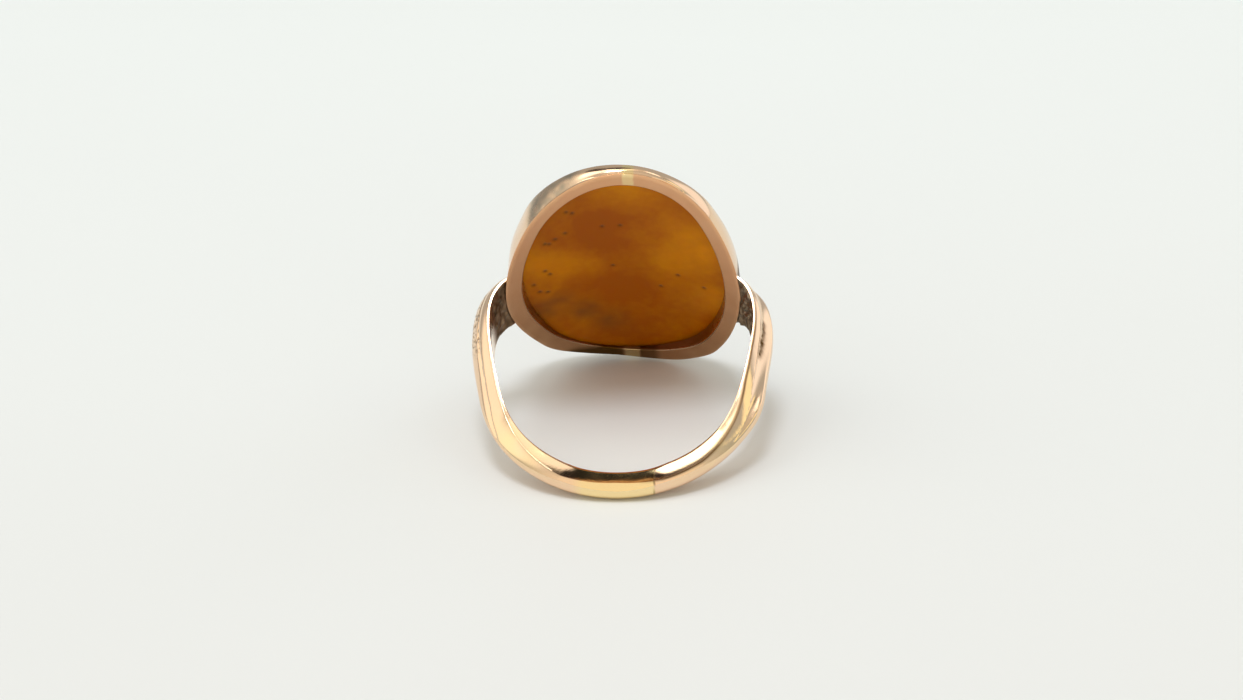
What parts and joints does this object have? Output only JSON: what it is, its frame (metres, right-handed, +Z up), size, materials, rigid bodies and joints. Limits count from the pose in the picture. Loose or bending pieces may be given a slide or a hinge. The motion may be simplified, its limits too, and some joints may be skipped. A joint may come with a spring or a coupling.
{
  "type": "finger ring",
  "caption": "Finger ring with a large oval shell cameo held in an open-backed gold bezel. Forked, fluted shoulders run into a plain half-round shank.",
  "frame": {"origin": "centre of the finger hole", "axes": "+Z up and +X across the head, with the ring lying on its side as it rests: on the lower end of the head's back rim and on the underside of the shank. The head is on the +Y side. The finger hole's axis leans back from +Z towards -Y by about 30 degrees."},
  "size_m": [0.0224, 0.0242, 0.0212],
  "materials": {
    "gold": "polished rose gold, worn satin on the back rim",
    "shell": "translucent shell, smooth at the back and carved in front"
  },
  "bodies": {
    "root": {"gold_mount": "gold", "cameo_stone": "shell"}
  },
  "joints": []
}
